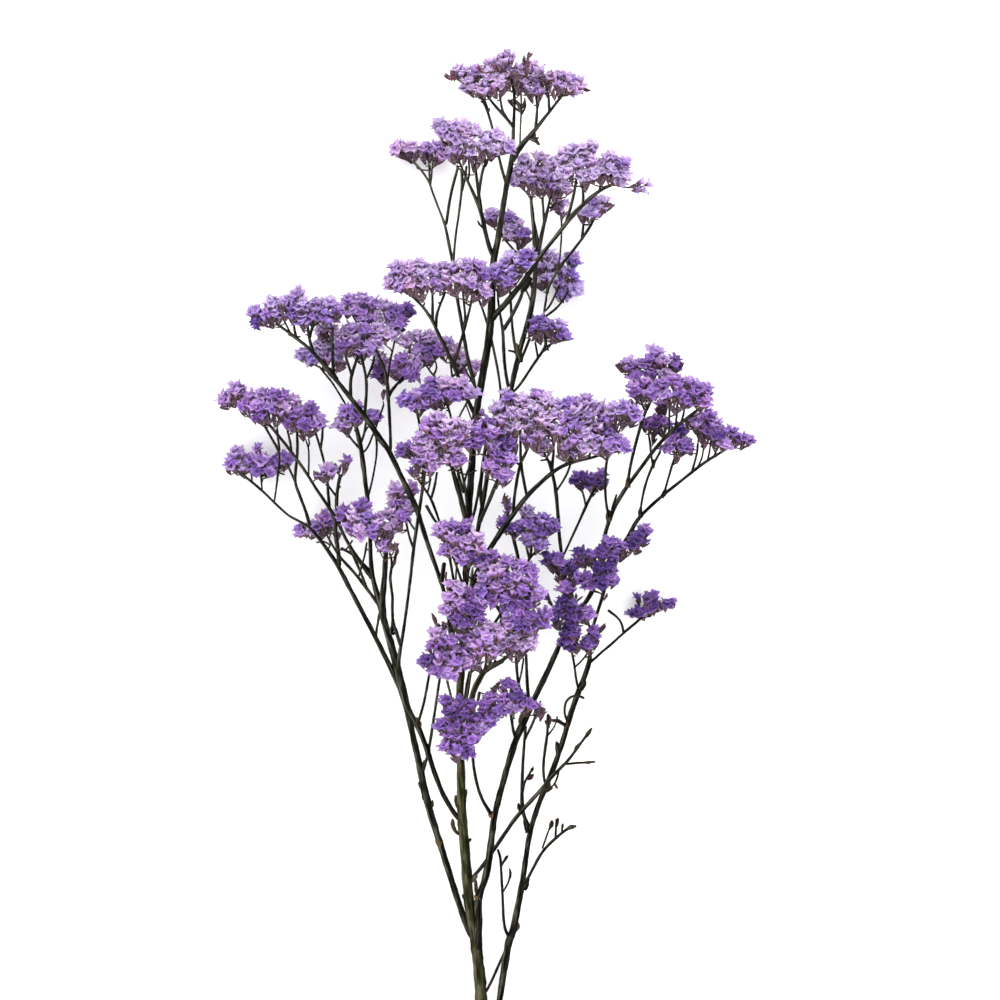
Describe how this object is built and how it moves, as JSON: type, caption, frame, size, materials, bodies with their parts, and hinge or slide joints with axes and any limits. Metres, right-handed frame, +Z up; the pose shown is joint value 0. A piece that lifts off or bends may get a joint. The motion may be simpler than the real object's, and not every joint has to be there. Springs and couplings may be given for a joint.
{
  "type": "dried statice spray",
  "caption": "Dried cut flowering spray: a stiff dark forked stem with papery lilac and violet flower heads, lying on its side.",
  "frame": {"origin": "under the middle of the spray's outline, on the surface that it rests on", "axes": "+Y along the spray from the cut stem end to the tip, +Z up from the surface, +X to the right seen from above with the tip at the top"},
  "size_m": [0.342, 0.6958, 0.1216],
  "materials": {
    "bark_main": "matt dried bark, olive brown",
    "bark_dark": "matt dried bark, near black",
    "petals_light": "matt papery petals, pale lilac",
    "petals_mid": "matt papery petals, violet",
    "petals_dark": "matt papery petals, dark violet"
  },
  "bodies": {
    "root": {"main_stem": "bark_main", "second_stem": "bark_dark", "branch_right": "bark_dark", "cross_branch": "bark_dark", "branch_upper_right": "bark_dark", "branch_left_low": "bark_dark", "branch_left_second": "bark_dark", "branch_left_long": "bark_dark", "branch_mid_right": "bark_dark", "branch_top_right": "bark_dark", "branch_top_left": "bark_dark", "branch_mid_left": "bark_dark", "branch_centre": "bark_dark", "flower_top": "petals_light", "flower_upper_left": "petals_light", "flower_far_left_top": "petals_light", "flower_rear_top": "petals_dark", "flower_upper_mid": "petals_mid", "flower_upper_right": "petals_light", "flower_right_small": "petals_mid", "flower_row_a": "petals_light", "flower_row_b": "petals_light", "flower_row_c": "petals_light", "flower_row_d": "petals_mid", "flower_behind_left": "petals_mid", "flower_mid_right": "petals_mid", "flower_mid_left": "petals_light", "flower_left_crown": "petals_mid", "flower_left_b": "petals_mid", "flower_left_c": "petals_light", "flower_left_d": "petals_mid", "flower_far_left": "petals_light", "flower_low_left": "petals_mid", "flower_left_e": "petals_mid", "flower_left_f": "petals_mid", "flower_left_g": "petals_mid", "flower_left_h": "petals_light", "flower_left_i": "petals_light", "flower_centre": "petals_light", "flower_right_a": "petals_light", "flower_right_b": "petals_light", "flower_centre_low": "petals_dark", "flower_right_dark": "petals_dark", "flower_right_c": "petals_mid", "flower_right_d": "petals_light", "flower_right_e": "petals_mid", "flower_right_f": "petals_mid", "flower_right_g": "petals_dark", "flower_dark_a": "petals_dark", "flower_dark_b": "petals_dark", "flower_dark_c": "petals_dark", "flower_dark_d": "petals_dark", "flower_dark_e": "petals_dark", "flower_low_right": "petals_mid", "flower_front_a": "petals_light", "flower_front_b": "petals_light", "flower_front_c": "petals_light", "flower_front_d": "petals_light", "flower_front_e": "petals_light", "flower_front_low": "petals_light"}
  },
  "joints": []
}
